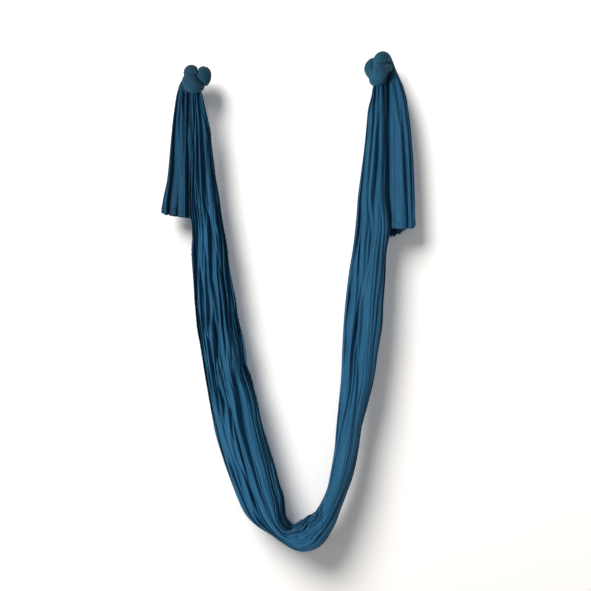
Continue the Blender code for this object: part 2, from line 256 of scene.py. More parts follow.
def gatheredRings(look, fine):
    # rings of one sheet of cloth, drawn together round a route: an outer face with deep creases
    # and the rest of its width folded away inside
    shares = np.array(look["ringShares"], float)
    rows, length = alongCurve(fine, shares)
    centre, halfWide, halfThick = rows[:, :3], rows[:, 3], rows[:, 4]
    run = np.gradient(centre, shares * length, axis=0)
    run /= np.linalg.norm(run, axis=1)[:, None]
    side = np.cross(run, np.array((0.0, 1.0, 0.0)))
    side /= np.linalg.norm(side, axis=1)[:, None]
    back = np.cross(side, run)

    # an oval at the knots, which gets fuller over the first 15 cm
    seam = look["seamAngle"]
    angles = np.linspace(seam, seam - 360, look["pointsRound"])
    grown = np.clip(np.minimum(shares, look["freeEnd"] - shares) * length / 0.15, 0, 1)
    full = 1 + (look["fullness"] - 1) * grown[:, None]
    turn = np.radians(angles)[None, :]
    cosine = np.sign(np.cos(turn)) * np.abs(np.cos(turn)) ** full
    sine = np.sign(np.sin(turn)) * np.abs(np.sin(turn)) ** full
    radius = np.hypot(halfWide[:, None] * cosine, halfThick[:, None] * sine)

    # each crease is a sharp valley; between two of them the cloth bulges out
    depth = np.zeros_like(radius)
    for angle, deep, less, more in look["creases"](shares):
        away = (angles[None, :] - angle[:, None] + 180) % 360 - 180
        away = np.radians(away) * radius
        width = np.where(away < 0, less[:, None], more[:, None])
        # narrow creases are sharp, wide troughs have a round floor and steep walls
        floor = np.clip(width / look["sharpUnder"], 0.7, 2.2)
        rise = np.minimum(np.abs(away) / (width * look["skirt"] / floor ** 0.5), 1) ** floor
        depth = np.maximum(depth, deep[:, None] * (1 - rise))
    depth += look["ripple"](shares, angles, length, radius)
    # the crests between creases come back out to the outline
    reach = look["liftReach"]
    lift = np.min([np.roll(depth, k, axis=1) for k in range(-reach, reach + 1)], axis=0)
    depth = depth - smoothed(lift, reach, 5)
    # creases sink towards the middle at the back, and straight away from the eye at the front
    facing = np.clip(0.5 - 0.9 * np.sin(turn), 0, 1) * np.ones_like(radius)
    sight = centre - np.array(cameraSpot["place"])
    sight -= run * (sight * run).sum(axis=1)[:, None]
    sight /= np.linalg.norm(sight, axis=1)[:, None]
    sightX, sightY = (sight * side).sum(axis=1)[:, None], (sight * back).sum(axis=1)[:, None]
    outX, outY = halfWide[:, None] * cosine, halfThick[:, None] * sine
    sinkX = -outX / radius * (1 - facing) + sightX * facing
    sinkY = -outY / radius * (1 - facing) + sightY * facing
    size = np.hypot(sinkX, sinkY)
    front = 0.003 + look["deepest"] * 1.5 * halfThick[:, None] * np.abs(np.sin(turn)) ** 0.8
    most = look["deepest"] * radius * (1 - facing) + front * facing
    depth = most * np.tanh(depth / most)
    outX, outY = outX + depth * sinkX / size, outY + depth * sinkY / size

    # the rest of the width goes in and out between the middle and the outer face
    folds = look["hiddenFolds"]
    inner = np.linspace(seam - 8, seam - 352, folds * 2)
    swing = np.where(np.arange(folds * 2) % 2 == 0, look["hiddenOut"], look["hiddenIn"])
    inX = halfWide[:, None] * (swing * np.cos(np.radians(inner)))[None, :]
    inY = halfThick[:, None] * (swing * np.sin(np.radians(inner)))[None, :]
    allX = np.concatenate([inX[:, ::-1], outX], axis=1)
    allY = np.concatenate([inY[:, ::-1], outY], axis=1)
    grid = (centre[:, None, :] + side[:, None, :] * allX[:, :, None]
            + back[:, None, :] * allY[:, :, None])
    return grid, shares * length


def denseShares(rings, start, end, middle, spread, extra):
    # ring places that crowd together round one part of the route
    walk = np.linspace(start, end, 2000)
    weight = 1 + extra * np.exp(-((walk - middle) / spread) ** 2)
    total = np.concatenate(([0.0], np.cumsum((weight[1:] + weight[:-1]) / 2)))
    return np.interp(np.linspace(0, total[-1], rings), total, walk)


# ---- the sling: one sheet from knot to knot ----

slingLook = {
    # x, z, half width, half thickness in mm
    "route": (
        (0, 30, 14, 13), (0, 13.5, 20.5, 18.5), (0, 0.4, 23.8, 22.1), (2.8, -35.7, 29.4, 24.1),
        (8.4, -78.2, 34.6, 26.3), (14.2, -133.9, 43.1, 29.7), (17.5, -189.8, 44.3, 32.8),
        (22.8, -282, 48.8, 36.8), (31.6, -370.4, 57.9, 40.2), (43.1, -458.5, 58.2, 43.3),
        (51.5, -543.8, 65.9, 45.9), (58.3, -632.5, 67.9, 48.2), (69.8, -720.5, 74.8, 50),
        (81.4, -808.6, 77.3, 51), (100.1, -895.7, 79.7, 51.7), (114.6, -983.3, 78.6, 52.8),
        (137.7, -1069.3, 86.9, 54.1), (156.6, -1159.7, 88.2, 55.6), (182.5, -1244.8, 87.1, 57.4),
        (206.2, -1316.5, 85.6, 59.1), (229.2, -1384.8, 79.9, 61.5), (249.3, -1429.5, 75.4, 65.1),
        (270.8, -1466, 58.7, 70.1), (298.4, -1498.4, 37, 74.9), (333.1, -1524.8, 31.3, 79.2),
        (376, -1530.4, 51.6, 82), (412.8, -1521.1, 55.1, 81), (437.6, -1494.4, 52.1, 77.8),
        (463.9, -1464.2, 42.4, 73.7), (485.4, -1419.3, 36.3, 69), (504.8, -1370, 34.6, 65.1),
        (520.8, -1312.9, 38.4, 61.6), (537.5, -1228.6, 41.3, 58.1), (548.1, -1143.6, 45.9, 56),
        (563.3, -1059.3, 53.1, 54.1), (576.9, -974.7, 60, 52.3), (584.6, -889.3, 63.4, 50.8),
        (594.2, -804.1, 67.1, 50), (600.2, -718.6, 65.2, 49.2), (608.7, -633.5, 63, 47.4),
        (617.3, -551.6, 57.9, 45.1), (628, -466.4, 59.1, 42.4), (625.2, -380.6, 49.7, 39.4),
        (630.3, -295.1, 43.4, 36.2), (635.5, -209.5, 38.4, 32.8), (638.9, -137.3, 34.9, 29.3),
        (642.3, -78.2, 32.9, 26.3), (647.4, -35.6, 26.4, 24.2), (650, 0.5, 23.8, 22.1),
        (650, 13.5, 20.5, 18.5), (650, 30, 14, 13),
    ),
    # how far the whole bundle is twisted, in degrees, at shares of its length
    "twist": (
        (0, 0), (0.15, -35), (0.29, -62), (0.45, -72), (0.475, -78), (0.5, -105), (0.53, -150),
        (0.565, -180), (0.6, -178), (0.66, -165), (0.75, -150), (0.85, -152), (0.95, -165),
        (1, -165),
    ),
    # how much deeper the main creases are than their rows say, at shares of the length
    "creaseGain": (
        (0.1, 1.6), (0.16, 1.8), (0.25, 1.8), (0.31, 1.3), (0.36, 1.02), (0.46, 1.1), (0.5, 1.6),
        (0.58, 1.15), (0.75, 1.2), (0.86, 1.4), (0.92, 1.7),
    ),
    # how strongly the cloth is pleated, and how far its pleats stand up as narrow ridges with wide
    # dark valleys between them
    "pleating": (
        (0, 0.9), (0.04, 1), (0.3, 1), (0.4, 0.75), (0.5, 0.7), (0.6, 0.25), (0.7, 0.25),
        (0.85, 0.35), (0.95, 0.6), (1, 0.9),
    ),
    "ridges": (
        (0, 0.3), (0.03, 0.55), (0.15, 0.68), (0.25, 0.76), (0.31, 0.4), (0.36, 0.04), (0.5, 0.0),
        (0.6, 0.0), (0.8, 0.02), (0.92, 0.06), (1, 0.08),
    ),
    # pleats: how many to a radian, length in metres, depth as a share of the radius
    "widePleats": (6, 0.8, 0.42), "narrowPleats": (14, 0.45, 0.2),
    "wideRidges": (6, 0.6, 0.75), "narrowRidges": (13, 0.4, 0.45),
    # the crumpled place where the cloth turns round under the user
    "crumple": {"share": 0.527, "spread": 0.024, "angle": -42, "reach": 52, "depth": 0.020},
    "rings": 211, "pointsRound": 390, "backCreases": 24,
    "seamAngle": 92,         # the cloth's two edges meet at the back
    "fullness": 0.95,        # 1 for an oval, less for a fuller form
    "freeEnd": 1.0,          # the share at which the next knot is
    "deepest": 0.6,          # of the radius
    "liftReach": 24,         # points to each side that a crest is lifted over
    "skirt": 1.9,            # how much wider a crease runs out than its row says
    "sharpUnder": 0.006,     # creases narrower than this are sharp valleys
    "hiddenFolds": 41, "hiddenOut": 0.38, "hiddenIn": 0.06,
}

# main creases of the side that faces the room: rows of share of the length, angle round the
# bundle (-90 faces the room, 0 the user), depth, and width towards less and more angle, in mm
slingCreases = (
    ((0.008, -52, 21, 4, 2), (0.042, -65, 32, 4, 3), (0.090, -62, 34, 7, 2),
     (0.129, -76, 25, 5, 2), (0.173, -60, 5, 2, 2), (0.217, -51, 4, 2, 5),
     (0.251, -53, 2, 2, 11), (0.282, -62, 2, 2, 11), (0.307, -61, 2, 2, 11),
     (0.326, -61, 25, 11, 7), (0.353, -64, 30, 11, 3), (0.418, -73, 15, 4, 4),
     (0.461, -73, 4, 2, 7), (0.484, -69, 6, 2, 4), (0.507, -59, 11, 3, 2),
     (0.530, -65, 14, 3, 3), (0.562, -57, 5, 3, 5), (0.605, -64, 12, 7, 11),
     (0.649, -81, 10, 8, 7), (0.674, -81, 11, 8, 3), (0.712, -80, 20, 2, 7),
     (0.747, -80, 34, 3, 4), (0.766, -80, 16, 3, 2), (0.789, -89, 3, 3, 2),
     (0.816, -99, 9, 5, 4), (0.835, -96, 16, 4, 5), (0.871, -82, 5, 2, 3),
     (0.929, -80, 8, 4, 3), (0.960, -83, 12, 3, 3), (0.990, -73, 17, 3, 6)),
    ((0.008, -92, 4, 2, 2), (0.021, -91, 28, 2, 2), (0.054, -106, 32, 2, 2),
     (0.081, -107, 22, 2, 2), (0.102, -114, 14, 2, 3), (0.134, -110, 34, 4, 2),
     (0.169, -116, 34, 5, 7), (0.232, -140, 15, 8, 7), (0.259, -137, 14, 8, 5),
     (0.280, -141, 7, 8, 6), (0.303, -139, 5, 9, 6), (0.334, -142, 5, 5, 2),
     (0.361, -134, 25, 8, 3), (0.395, -142, 17, 6, 4), (0.430, -143, 4, 7, 4),
     (0.468, -131, 1, 5, 3)),
    ((0.010, -42, 16, 2, 2), (0.025, -43, 12, 2, 2), (0.056, -35, 16, 4, 5),
     (0.090, -28, 18, 5, 5), (0.119, -37, 21, 5, 4), (0.150, -41, 4, 2, 2),
     (0.203, -19, 1, 4, 6), (0.255, -16, 5, 5, 6), (0.284, -24, 11, 5, 5),
     (0.311, -15, 5, 4, 7), (0.357, -28, 3, 2, 11), (0.405, -32, 7, 7, 11),
     (0.428, -40, 6, 2, 11), (0.495, -37, 14, 6, 7), (0.545, -50, 2, 2, 2), (0.568, -49, 2, 2, 5)),
    ((0.013, -80, 21, 2, 2), (0.048, -92, 12, 2, 3), (0.109, -89, 12, 4, 2),
     (0.173, -94, 3, 3, 2)),
    ((0.027, -52, 19, 2, 2), (0.044, -57, 10, 2, 2), (0.069, -56, 2, 2, 2),
     (0.113, -45, 2, 4, 2), (0.150, -52, 2, 2, 2), (0.167, -50, 11, 2, 2), (0.188, -53, 13, 2, 3)),
    ((0.052, -72, 2, 2, 2), (0.079, -69, 3, 4, 2), (0.127, -80, 7, 3, 2),
     (0.165, -77, 14, 2, 2), (0.186, -82, 12, 2, 2), (0.203, -84, 8, 2, 3),
     (0.219, -79, 24, 3, 4), (0.248, -80, 34, 5, 5), (0.292, -96, 14, 2, 3),
     (0.313, -90, 14, 3, 4), (0.330, -93, 12, 3, 5), (0.351, -89, 28, 4, 3),
     (0.395, -104, 9, 2, 4), (0.422, -95, 18, 3, 3), (0.441, -94, 30, 4, 3),
     (0.484, -106, 14, 5, 2)),
    ((0.054, -113, 13, 3, 2), (0.079, -112, 5, 2, 2), (0.104, -120, 3, 2, 2),
     (0.138, -117, 1, 2, 2), (0.186, -137, 2, 6, 2), (0.240, -147, 1, 4, 2)),
    ((0.058, -27, 17, 2, 5), (0.090, -21, 19, 2, 3), (0.106, -25, 20, 2, 4),
     (0.123, -21, 8, 2, 4), (0.148, -23, 6, 3, 6), (0.190, -19, 3, 2, 3)),
    ((0.113, -66, 17, 2, 2), (0.129, -71, 5, 2, 2), (0.148, -67, 2, 2, 2)),
    ((0.117, -134, 22, 2, 2), (0.134, -140, 9, 2, 2)),
    ((0.129, -104, 34, 2, 2), (0.169, -106, 15, 2, 2), (0.192, -113, 8, 2, 3),
     (0.219, -107, 14, 3, 3), (0.257, -114, 17, 3, 3)),
    ((0.165, -71, 2, 2, 2), (0.203, -77, 1, 2, 2)),
    ((0.186, -40, 1, 3, 3), (0.236, -46, 4, 2, 4)),
    ((0.196, -90, 14, 2, 2), (0.234, -94, 33, 5, 6), (0.280, -110, 3, 2, 2),
     (0.301, -104, 11, 3, 2), (0.317, -106, 34, 6, 2), (0.338, -101, 34, 6, 4),
     (0.372, -114, 7, 4, 4), (0.384, -112, 4, 4, 2), (0.415, -109, 17, 5, 2),
     (0.463, -124, 16, 11, 3)),
    ((0.213, -62, 2, 2, 2), (0.240, -69, 1, 3, 2)),
    ((0.215, -82, 1, 2, 2), (0.253, -85, 2, 2, 2), (0.290, -101, 13, 2, 2)),
    ((0.219, -130, 22, 2, 2), (0.234, -133, 21, 2, 2), (0.263, -131, 27, 2, 2),
     (0.280, -135, 19, 2, 2), (0.309, -133, 7, 2, 9)),
    ((0.246, -76, 34, 2, 2), (0.261, -78, 25, 2, 2), (0.286, -89, 16, 2, 4),
     (0.309, -85, 18, 2, 3), (0.322, -88, 22, 2, 3)),
    ((0.248, -63, 14, 3, 2), (0.288, -75, 5, 4, 2), (0.357, -70, 2, 5, 2),
     (0.390, -75, 1, 2, 2), (0.438, -76, 1, 4, 2)),
    ((0.276, -29, 19, 4, 2), (0.290, -28, 27, 5, 2)),
    ((0.305, -109, 26, 4, 2), (0.338, -115, 16, 5, 3)),
    ((0.338, -96, 3, 2, 2), (0.365, -97, 2, 2, 2), (0.378, -101, 1, 3, 2)),
    ((0.355, -19, 4, 2, 9), (0.405, -22, 14, 2, 9), (0.430, -31, 5, 2, 8), (0.480, -32, 3, 2, 11)),
    ((0.357, -88, 25, 2, 2), (0.418, -92, 21, 2, 2)),
    ((0.399, -68, 18, 2, 2), (0.457, -69, 10, 2, 5), (0.484, -64, 3, 2, 3)),
    ((0.411, -120, 18, 11, 2), (0.441, -120, 14, 7, 2), (0.457, -125, 6, 10, 2)),
    ((0.413, -101, 1, 2, 2), (0.436, -97, 2, 2, 2), (0.466, -105, 22, 11, 2)),
    ((0.445, -90, 21, 2, 2), (0.476, -96, 15, 2, 2)),
    ((0.503, -31, 34, 2, 6), (0.528, -27, 26, 2, 4), (0.541, -30, 24, 2, 2)),
    ((0.507, -74, 4, 5, 2), (0.524, -77, 7, 4, 3)),
    ((0.509, -119, 14, 10, 3), (0.534, -119, 9, 11, 2), (0.608, -151, 8, 7, 4),
     (0.641, -154, 4, 8, 5), (0.729, -136, 5, 11, 2), (0.754, -136, 6, 11, 2),
     (0.779, -146, 7, 2, 3), (0.814, -152, 9, 3, 2), (0.850, -139, 2, 2, 2),
     (0.885, -152, 2, 2, 3), (0.906, -148, 5, 2, 5), (0.933, -152, 2, 2, 5),
     (0.962, -150, 5, 2, 4), (0.990, -143, 23, 2, 6)),
    ((0.518, -101, 4, 2, 2), (0.572, -118, 4, 2, 3), (0.633, -120, 5, 5, 4),
     (0.670, -109, 9, 3, 4), (0.727, -85, 17, 2, 2), (0.770, -84, 9, 2, 2)),
    ((0.601, -126, 5, 4, 2), (0.637, -125, 7, 3, 2), (0.664, -116, 8, 2, 2)),
    ((0.626, -49, 12, 2, 6), (0.653, -54, 13, 3, 10), (0.681, -45, 6, 6, 11),
     (0.710, -47, 2, 2, 11), (0.733, -40, 3, 2, 7), (0.762, -44, 10, 5, 6),
     (0.797, -42, 10, 2, 6), (0.839, -51, 24, 5, 10), (0.891, -50, 14, 4, 6),
     (0.921, -43, 11, 7, 6), (0.950, -45, 6, 6, 5), (0.979, -52, 10, 2, 4)),
    ((0.641, -72, 1, 2, 2), (0.785, -75, 9, 2, 3), (0.835, -59, 16, 2, 3),
     (0.856, -61, 8, 2, 2), (0.910, -52, 2, 3, 2), (0.944, -52, 13, 7, 11)),
    ((0.651, -90, 10, 2, 2), (0.706, -86, 24, 2, 2)),
    ((0.708, -53, 12, 4, 11), (0.724, -53, 17, 3, 11), (0.743, -47, 12, 2, 11),
     (0.775, -49, 25, 10, 11), (0.800, -50, 9, 2, 4)),
    ((0.720, -96, 14, 5, 6), (0.762, -93, 13, 11, 6)),
    ((0.762, -128, 4, 2, 3), (0.825, -133, 7, 3, 4), (0.852, -126, 2, 2, 2)),
    ((0.785, -142, 1, 2, 2), (0.816, -147, 1, 2, 2)),
    ((0.800, -101, 4, 2, 2), (0.823, -103, 11, 2, 2), (0.854, -98, 7, 3, 2),
     (0.879, -107, 14, 5, 6), (0.916, -113, 17, 5, 6), (0.967, -111, 5, 2, 3)),
    ((0.806, -89, 5, 3, 2), (0.835, -84, 9, 3, 4)),
    ((0.935, -106, 2, 2, 4), (0.990, -100, 7, 2, 3)),
)


def slingFolds(shares):
    # the main creases, then many more round the sides and the back
    for angle, deep, less, more in creaseLines(slingCreases, shares):
        yield angle, deep * atShares(slingLook["creaseGain"], shares), less, more
    draw = np.random.RandomState(7)
    twist = atShares(slingLook["twist"], shares)
    for k in range(slingLook["backCreases"]):
        base = 90 - 360 * (k + 0.5 * draw.rand()) / slingLook["backCreases"]
        wander = 8 * np.sin(2 * math.pi * (shares * (1.5 + 2 * draw.rand()) + draw.rand()))
        angle = base + twist + wander
        strength = 0.6 + 0.4 * np.sin(2 * math.pi * (shares * (1 + 3 * draw.rand()) + draw.rand()))
        shown = np.clip((fromRoomSide(angle) - 62) / 20, 0, 1)
        # one side of a crease is steep and the other wide
        sharp, wide = 0.003 + 0.003 * draw.rand(), 0.006 + 0.010 * draw.rand()
        if draw.rand() < 0.5:
            sharp, wide = wide, sharp
        even = np.ones_like(shares)
        yield angle, 0.026 * strength * shown, sharp * even, wide * even


def slingRipple(shares, angles, length, radius):
    along = (shares * length)[:, None] + 0 * angles[None, :]
    across = np.radians(angles[None, :] - atShares(slingLook["twist"], shares)[:, None])
    level = atShares(slingLook["pleating"], shares)[:, None]
    level = level * (0.75 + 0.5 * softNoise(across * 2, along / 0.5, 11))
    # the room side has its own creases, so fewer of these
    facing = fromRoomSide(angles[None, :])
    level = level * (0.3 + 0.7 * np.clip((facing - 60) / 25, 0, 1))
    count, run, deep = slingLook["widePleats"]
    ripple = level * radius * deep * finePleats(across * count, along / run, 3)
    crowded = np.clip(0.5 + 1.2 * softNoise(across * 3, along / 0.6, 14), 0, 1)
    count, run, deep = slingLook["narrowPleats"]
    ripple += level * crowded * radius * deep * finePleats(across * count, along / run, 4)
    ridges = 0
    for kind, seed in (("wideRidges", 21), ("narrowRidges", 22)):
        count, run, deep = slingLook[kind]
        ridges = ridges + deep * finePleats(across * count, along / run, seed)
    drawn = atShares(slingLook["ridges"], shares)[:, None]
    shown = np.clip((88 - facing) / 30, 0.2, 1)
    ripple += drawn * shown * radius * (1 - np.minimum(ridges, 1))
    crumple = slingLook["crumple"]
    pocket = np.exp(-((shares[:, None] - crumple["share"]) / crumple["spread"]) ** 4
                    - ((angles[None, :] - crumple["angle"]) / crumple["reach"]) ** 4)
    slanted = np.radians(angles[None, :]) * 6 + along / 0.05
    ripple += pocket * crumple["depth"] * finePleats(slanted, along / 0.030 - slanted * 0.5, 5)
    return ripple


def makeSling():
    # its rings crowd together where it turns round under the user
    look = dict(slingLook, creases=slingFolds, ripple=slingRipple,
                ringShares=denseShares(slingLook["rings"], 0, 1, 0.523, 0.04, 3.0))
    route = [(x / 1000, 0.0, z / 1000, w / 1000, t / 1000) for x, z, w, t in look["route"]]
    grid, along = gatheredRings(look, curveThrough(route, 5000))
    return gridMesh("sling_cloth", grid, clothWidth(grid), along, slingCloth)


sling = makeSling()
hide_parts("left_limb", "seat", "right_limb")
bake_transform(sling)
print("sling made:", len(sling.data.polygons), "faces")


# ---- knots: the same cloth, drawn into a strand and tied ----

knotLook = {
    # the strand's way from each throat through its knot: x towards the user, y, z and radius in mm
    "left": (
        (0, 0, 6, 22), (0, 0, 18, 22), (4, 0, 32, 23), (15, 0, 43, 26), (22, 2, 55, 29),
        (25, 8, 68, 29), (22, 23, 80, 26), (15, 38, 80, 22), (3, 46, 73, 21), (-10, 46, 66, 21),
        (-21, 36, 61, 21), (-25, 20, 57, 22), (-24, 4, 54, 24), (-19, -11, 50, 27),
        (-12, -21, 41, 29), (-6, -26, 32, 29), (2, -23, 26, 27), (9, -11, 27, 23),
        (12, 2, 36, 20), (6, 6, 47, 21), (-3, 3, 59, 24), (-11, 0, 70, 28), (-17, 5, 79, 29),
        (-23, 20, 86, 26), (-30, 35, 83, 22), (-37, 44, 70, 22), (-44, 44, 58, 21),
        (-50, 36, 45, 20), (-54, 30, 30, 20), (-55, 28, 12, 18),
    ),
    "right": (
        (0, 0, 6, 22), (0, 0, 18, 22), (4, 2, 32, 22), (16, 7, 42, 22), (28, 10, 54, 21),
        (33, 13, 67, 21), (27, 23, 82, 21), (15, 38, 88, 21), (0, 46, 82, 21), (-14, 42, 72, 21),
        (-22, 30, 66, 20), (-20, 14, 64, 20), (-13, -2, 61, 21), (-8, -14, 55, 24),
        (-4, -23, 45, 27), (-1, -27, 34, 29), (5, -24, 25, 28), (10, -12, 23, 24),
        (15, 2, 31, 21), (12, 8, 46, 21), (4, 4, 64, 22), (-3, 0, 81, 26), (-8, 6, 94, 27),
        (-13, 24, 98, 25), (-20, 40, 88, 22), (-27, 46, 70, 21), (-35, 42, 50, 21),
        (-43, 34, 30, 21), (-47, 29, 12, 20),
    ),
    "endShare": 0.80, "endLength": 0.13,   # the strand starts and ends this much thinner
    "bendShare": 0.80, "bendRings": 20,    # how near the inside of a bend may come to its centre
    "squeeze": 0.0006, "least": 0.002,     # gap between two turns, and the least radius, in metres
    "rings": 190, "pointsRound": 150, "pleats": 19, "pleatDepth": 0.0032,
}


def strandAxes(points):
    # two directions across the strand that turn as little as they can on the way
    run = np.gradient(points, axis=0)
    run /= np.linalg.norm(run, axis=1)[:, None]
    first = np.array((1.0, 0.0, 0.0))
    axes = []
    for t in run:
        first = first - t * first.dot(t)
        first /= np.linalg.norm(first)
        axes.append((first, np.cross(t, first)))
    return axes


def makeKnot(side, throatX, mirror, seed):
    look = knotLook
    rings, count = look["rings"], look["pointsRound"]
    fine = curveThrough(np.array(look[side]) * 0.001, 4000)
    shares = np.linspace(0, 1, rings)
    rows, length = alongCurve(fine, shares)
    points, strand = rows[:, :3], rows[:, 3]
    axes = strandAxes(points)
    order = np.arange(rings)
    turns = np.linspace(0, 2 * math.pi, count, endpoint=False)
    grid = np.zeros((rings, count, 3))
    for k in range(rings):
        out = np.cos(turns)[:, None] * axes[k][0] + np.sin(turns)[:, None] * axes[k][1]
        fromEnd = min(shares[k], 1 - shares[k])
        full = strand[k] * min(1.0, look["endShare"] + fromEnd / look["endLength"])
        # the strand swells to its full size, or until it meets its own other turns half way
        away = points - points[k]
        ahead = away @ out.T
        steps = np.abs(order - k)
        reach = (away ** 2).sum(axis=1)[:, None] / (2 * np.maximum(ahead, 1e-9))
        limit = np.where((steps <= look["bendRings"])[:, None], reach * look["bendShare"],
                         reach - look["squeeze"] / 2)
        limit = np.where((ahead > 1e-9) & (steps > 0)[:, None], limit, 1.0).min(axis=0)
        limit = np.maximum(limit, look["least"])
        radius = (full ** -16 + limit ** -16) ** (-1 / 16)
        # pleats of the gathered cloth run along the strand
        along = shares[k] * length
        wander = softNoise(turns * 1.9, turns * 0 + along / 0.09, seed)
        phase = look["pleats"] / 2 * turns + 1.3 * wander
        valley = (1 - np.abs(np.sin(phase))) ** 2.4
        strength = 0.75 + 0.5 * softNoise(turns * 3, turns * 0 + along / 0.05, seed + 1)
        radius = radius - look["pleatDepth"] * valley * strength * np.minimum(1, radius / 0.012)
        grid[k] = points[k] + out * radius[:, None]
    # closed ends, hidden in the sling's neck and in the tail
    caps = [np.repeat(points[k][None, None, :], count, axis=1) for k in (0, -1)]
    grid = np.concatenate([caps[0], grid, caps[1]], axis=0)
    if mirror:
        grid[:, :, 0] *= -1
    grid[:, :, 0] += throatX
    across = np.linspace(0, 2 * math.pi * strand.mean(), count + 1)
    along = np.concatenate(([0.0], shares * length, [length]))
    return gridMesh(side + "_knot_cloth", grid, across, along, knotClothInPaintedShade[side], closed=True)


leftKnot = makeKnot("left", 0.0, False, 21)
rightKnot = makeKnot("right", 0.65, True, 31)
for knot, solid in ((leftKnot, "left_knot"), (rightKnot, "right_knot")):
    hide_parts(solid)
    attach(knot, "knots")
print("knots made:", len(leftKnot.data.polygons), "faces each")


# ---- tails: the loose ends of the cloth ----

tailLook = {
    "left": {
        # x, y, z, half width, half thickness in mm
        "route": (
            (-44, 44, 64, 11, 11), (-48, 38, 52, 16, 15), (-51, 31, 34, 20, 20),
            (-53, 28, 14, 25, 25), (-55, 28, -10, 28, 28), (-60, 28, -85, 33.5, 30),
            (-65.5, 28, -191, 39, 32), (-71, 28, -296, 44.5, 32), (-78, 28, -360, 51.5, 32),
            (-81.5, 28, -400, 55, 32), (-82, 28, -421, 55.5, 32),
        ),
        "hem": 0.025, "slant": (-0.008, 0.0), "backDrop": 0.004, "ridges": 0.16, "seed": 41,
    },
    "right": {
        "route": (
            (680, 47, 76, 11, 11), (684, 42, 60, 15, 14), (688, 35, 40, 24, 18),
            (693, 30, 14, 30, 21), (699, 28, -10, 33, 24), (705, 28, -60, 40, 28),
            (712, 28, -149, 45, 31), (715, 28, -250, 49.5, 31), (717, 28, -340, 51.5, 31),
            (718, 28, -440, 53, 31), (718.5, 28, -480, 53.5, 31),
        ),
        "hem": 0.025, "slant": (0.004, 0.004), "backDrop": 0.032, "ridges": 0.05, "seed": 51,
    },
    # as the sling's, but with no knot at the lower end
    "pointsRound": 250, "seamAngle": 92, "fullness": 0.82, "freeEnd": 9.0,
    "deepest": 0.75, "liftReach": 22, "skirt": 2.2, "sharpUnder": 0.006,
    "hiddenFolds": 64, "hiddenOut": 0.47, "hiddenIn": 0.04,
    "rings": 100, "creaseCount": 26, "creaseDepth": 0.020,
    "widePleats": (4, 0.30, 0.32), "narrowPleats": (12, 0.25, 0.16),
    "spread": 0.055, "halfThick": 0.031,   # sizes of the lower end, for the hem's line
    "hemOut": 0.0008, "hemTop": 0.0002, "hemEdge": 0.0003,   # the hem stands off the cloth
}

# front creases of each tail, as the sling's
tailCreases = {
    "left": (
        ((0.1, -116, 8, 3, 3), (0.3, -112, 28, 4, 4), (0.55, -106, 42, 6, 6), (0.8, -99, 50, 8, 8),
         (1, -93, 50, 9, 9)),
        ((0.03, -68, 20, 4, 4), (0.2, -66, 24, 4, 4), (0.45, -62, 12, 3, 3), (0.7, -60, 6, 3, 3)),
        ((0.0, -30, 16, 8, 8), (0.3, -28, 26, 9, 9), (1, -24, 26, 9, 9)),
        ((0.3, -143, 8, 4, 4), (0.6, -146, 10, 4, 4), (1, -146, 10, 4, 4)),
        ((0.1, -92, 4, 2, 3), (0.3, -88, 14, 3, 4), (0.5, -85, 8, 3, 3)),
    ),
    "right": (
        ((0.02, -122, 12, 4, 5), (0.2, -124, 18, 4, 5), (0.5, -126, 18, 4, 5), (1, -126, 16, 4, 5)),
        ((0.02, -78, 10, 3, 4), (0.15, -80, 12, 3, 4), (0.35, -78, 5, 3, 3)),
        ((0.25, -66, 6, 3, 4), (0.45, -67, 16, 3, 5), (0.7, -66, 20, 3, 5), (1, -62, 18, 3, 5)),
        ((0.3, -96, 3, 4, 4), (0.6, -98, 6, 4, 4), (1, -96, 7, 4, 4)),
        ((0.1, -40, 6, 3, 4), (0.5, -38, 9, 3, 4), (1, -36, 9, 3, 4)),
    ),
}


def tailFolds(seed):
    # many more creases round the sides and the back, as rows like those above
    draw = np.random.RandomState(seed)
    folds = []
    for k in range(tailLook["creaseCount"]):
        base = 90 - 360 * (k + 0.4 * draw.rand()) / tailLook["creaseCount"]
        shown = min(1, max(0.0, (fromRoomSide(base) - 55) / 25))
        depth = 1000 * tailLook["creaseDepth"] * (0.6 + 0.4 * draw.rand()) * (0.08 + 0.92 * shown)
        wander = 10 * (draw.rand(3) - 0.5)
        less, more = 3 + 4 * draw.rand(), 3 + 4 * draw.rand()
        folds.append(((0.03, base, depth * 0.3, less, more),
                      (0.2, base + wander[0], depth, less, more),
                      (0.6, base + wander[1], depth, less, more),
                      (1.2, base + wander[2], depth, less, more)))
    return folds


def hangHem(grid, along, side, centreX, rootY):
    # the hem's line slants and waves, and its layers at the back hang lower next to the limb
    own = tailLook[side]
    drop = np.clip((along / along[-1] - 0.5) * 2, 0, 1) ** 2
    slant = (grid[:, :, 0] - centreX) / tailLook["spread"]
    wave = 0.004 * softNoise(np.arange(grid.shape[1])[None, :] * 0.045 + 0 * slant, 0 * slant,
                             own["seed"] + 5)
    behind = np.clip((grid[:, :, 1] - rootY) / tailLook["halfThick"], 0, 1)
    towardsLimb = np.clip(0.3 + slant * (1 if side == "left" else -1), 0, 1)
    grid[:, :, 2] += drop[:, None] * (own["slant"][0] * slant + own["slant"][1] * slant ** 2 + wave
                                      - own["backDrop"] * behind * towardsLimb)


